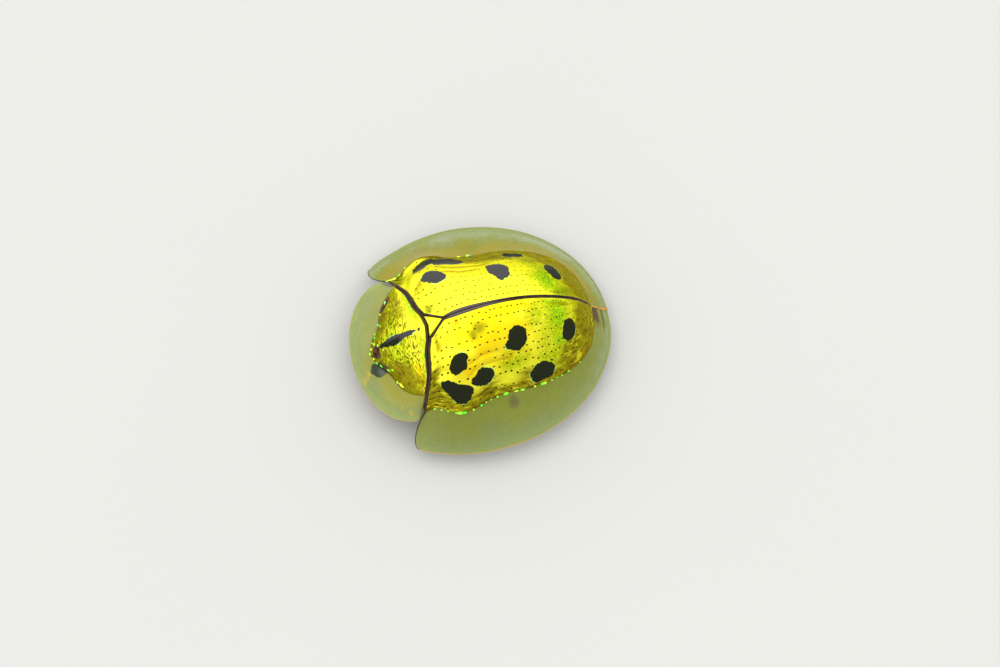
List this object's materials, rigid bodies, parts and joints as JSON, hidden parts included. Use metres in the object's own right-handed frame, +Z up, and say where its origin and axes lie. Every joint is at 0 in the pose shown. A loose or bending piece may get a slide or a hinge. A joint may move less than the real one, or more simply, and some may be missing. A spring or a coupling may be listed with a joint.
{
  "type": "tortoise beetle",
  "caption": "Tortoise beetle with a domed golden shell, black spots and a clear flat margin all round, its head, feelers and legs tucked beneath.",
  "frame": {"origin": "on the floor, below the middle of the shell seen from above", "axes": "+Z up from the floor, -Y towards the head, +X towards the beetle's left side"},
  "size_m": [0.0078, 0.0084, 0.0035],
  "materials": {
    "golden_shell": "lacquered metallic gold shell with black spots",
    "clear_margin": "clear horny plate, faintly green, with an amber rim",
    "body": "smooth amber-brown horny plates",
    "limb": "satin amber legs and feelers",
    "eye": "glossy black faceted eye"
  },
  "bodies": {
    "root": {"elytron_left": "golden_shell", "elytron_right": "golden_shell", "scutellum": "golden_shell", "pronotum": "golden_shell", "elytron_margin_left": "clear_margin", "elytron_margin_right": "clear_margin", "pronotum_margin": "clear_margin", "head": "body", "mouthparts": "body", "prothorax": "body", "mesothorax": "body", "metathorax": "body", "abdomen": "body", "eye_left": "eye", "eye_right": "eye", "antenna_left": "limb", "antenna_right": "limb", "leg_front_coxa_left": "limb", "leg_front_coxa_right": "limb", "leg_front_femur_left": "limb", "leg_front_femur_right": "limb", "leg_front_tibia_left": "limb", "leg_front_tibia_right": "limb", "leg_front_tarsus_left": "limb", "leg_front_tarsus_right": "limb", "leg_middle_coxa_left": "limb", "leg_middle_coxa_right": "limb", "leg_middle_femur_left": "limb", "leg_middle_femur_right": "limb", "leg_middle_tibia_left": "limb", "leg_middle_tibia_right": "limb", "leg_middle_tarsus_left": "limb", "leg_middle_tarsus_right": "limb", "leg_hind_coxa_left": "limb", "leg_hind_coxa_right": "limb", "leg_hind_femur_left": "limb", "leg_hind_femur_right": "limb", "leg_hind_tibia_left": "limb", "leg_hind_tibia_right": "limb", "leg_hind_tarsus_left": "limb", "leg_hind_tarsus_right": "limb"}
  },
  "joints": []
}
